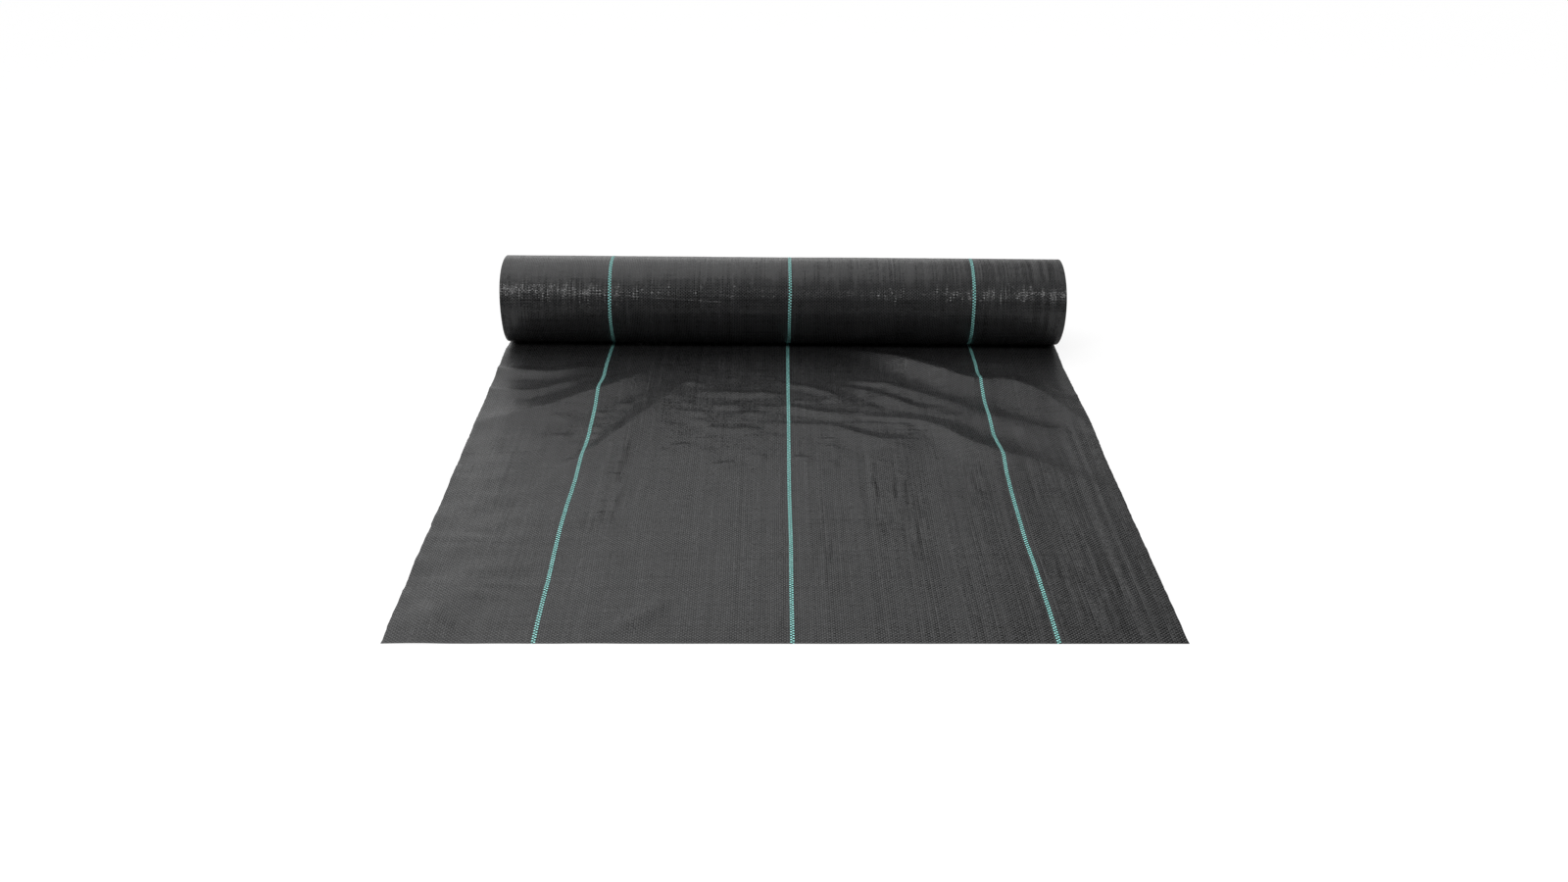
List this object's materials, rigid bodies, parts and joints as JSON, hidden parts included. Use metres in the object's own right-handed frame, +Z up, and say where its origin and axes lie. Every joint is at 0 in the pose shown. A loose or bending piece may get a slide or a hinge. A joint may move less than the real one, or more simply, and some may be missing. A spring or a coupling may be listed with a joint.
{
  "type": "roll of landscape fabric",
  "caption": "Part-unrolled roll of black woven landscape fabric on a cardboard core, its free end laid out flat, with teal marker stripes along the web.",
  "frame": {"origin": "on the ground under the roll's axis, half way along the roll, where the web meets the ground", "axes": "+X along the roll, +Z up, -Y from the roll towards the web's cut edge"},
  "size_m": [0.9144, 0.8911, 0.1437],
  "materials": {
    "web_cloth": "woven tape with a low sheen",
    "marker_tape": "coloured tape with a low sheen",
    "core_card": "plain spiral-wound card"
  },
  "bodies": {
    "laid_stretch": {"laid_web": "web_cloth", "left_marker_laid": "marker_tape", "middle_marker_laid": "marker_tape", "right_marker_laid": "marker_tape"},
    "feed_stretch": {"feed_web": "web_cloth", "left_marker_feed": "marker_tape", "middle_marker_feed": "marker_tape", "right_marker_feed": "marker_tape"},
    "roll": {"core_tube": "core_card", "wound_web": "web_cloth", "left_marker_wound": "marker_tape", "middle_marker_wound": "marker_tape", "right_marker_wound": "marker_tape"}
  },
  "joints": [
    {"name": "roll_travel", "type": "slide", "parent": "laid_stretch", "child": "feed_stretch", "axis": [0, 1, 0], "range_m": [-0.4, 0.6], "deforming": ["laid_web", "left_marker_laid", "middle_marker_laid", "right_marker_laid"]},
    {"name": "roll_turn", "type": "hinge", "parent": "feed_stretch", "child": "roll", "pos_m": [0, 0, 0.0731], "axis": [1, 0, 0], "range_deg": [-481, 321]}
  ],
  "couplings": [
    {"joint": "roll_turn", "follows": "roll_travel", "rad_per_m": -13.986}
  ]
}
